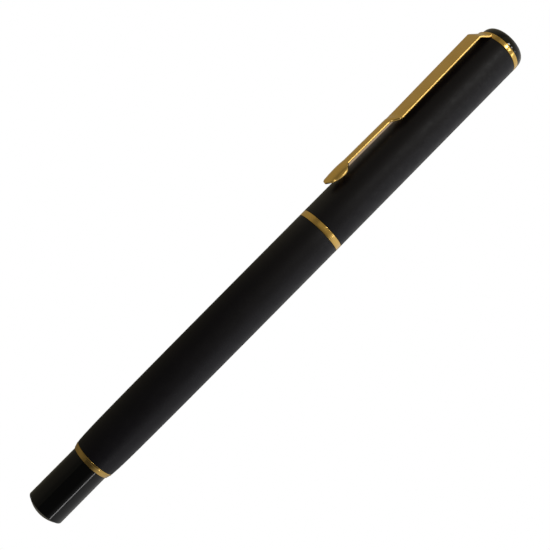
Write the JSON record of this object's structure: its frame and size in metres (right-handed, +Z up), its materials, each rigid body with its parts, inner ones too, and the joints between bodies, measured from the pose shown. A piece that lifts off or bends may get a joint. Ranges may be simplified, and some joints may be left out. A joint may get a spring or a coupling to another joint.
{
  "type": "rollerball pen",
  "caption": "Slim capped rollerball pen in matte black with gold-plated rings and a leaf-ended clip, lying at rest with the cap on.",
  "frame": {"origin": "on the surface that the pen lies on, under the middle of its bounding box", "axes": "+Z up from that surface, X along the pen with the tail at +X and the cap's end at -X, the clip towards -Y and down at about 30 degrees"},
  "size_m": [0.1368, 0.0124, 0.0106],
  "materials": {
    "lacquer_black": "matte black lacquer over metal, very fine satin grain",
    "gloss_black": "polished black plastic",
    "gold_plate": "polished gold plate over brass",
    "brass": "turned brass, unplated",
    "steel": "turned stainless steel",
    "spring_steel": "drawn spring wire",
    "rubber": "matte black rubber",
    "liner": "moulded dark plastic",
    "refill_plastic": "moulded off-white plastic",
    "ink_fibre": "bonded fibre soaked with ink"
  },
  "bodies": {
    "barrel": {"barrel_tube": "lacquer_black", "barrel_bush": "brass", "tail_ring": "gold_plate", "tail_plug": "gloss_black", "refill_spring": "spring_steel"},
    "seal": {"thread_gasket": "rubber"},
    "refill": {"refill_tube": "steel", "refill_plug": "refill_plastic", "ink_filler": "ink_fibre", "refill_collar": "refill_plastic", "feed_wick": "ink_fibre", "refill_tip": "steel"},
    "ball": {"writing_ball": "steel"},
    "section": {"section_thread": "brass", "section_ring": "gold_plate", "grip_section": "gloss_black", "section_o_ring": "rubber", "nose_cone": "gold_plate"},
    "cap": {"cap_lip_ring": "gold_plate", "cap_tube": "lacquer_black", "inner_cap": "liner", "clip_collar": "gold_plate", "finial": "gloss_black", "cap_screw": "steel", "lock_washer": "steel"},
    "clip": {"clip_arm": "gold_plate"}
  },
  "joints": [
    {"name": "front_pull", "type": "slide", "parent": "barrel", "child": "seal", "axis": [-1, 0, 0], "range_m": [0, 0.075]},
    {"name": "section_advance", "type": "slide", "parent": "seal", "child": "refill", "axis": [-1, 0, 0], "range_m": [0, 0.00375]},
    {"name": "section_turn", "type": "hinge", "parent": "refill", "child": "section", "pos_m": [-0.0125, 0.00094, 0.0053], "axis": [-1, 0, 0], "range_deg": [0, 1800]},
    {"name": "cap_pull", "type": "slide", "parent": "section", "child": "cap", "axis": [-1, 0, 0], "range_m": [0, 0.05]},
    {"name": "clip_flex", "type": "hinge", "parent": "cap", "child": "clip", "pos_m": [-0.06555, -0.00385, 0.00259], "axis": [0, 0.4925, -0.8703], "range_deg": [0, 4], "stiffness_Nm_per_rad": 1.5},
    {"name": "ball_roll", "type": "hinge", "parent": "refill", "child": "ball", "pos_m": [-0.0533, 0.00094, 0.0053], "axis": [0, 1, 0], "continuous": true}
  ],
  "couplings": [
    {"joint": "section_turn", "follows": "section_advance", "rad_per_m": 8377.6}
  ]
}
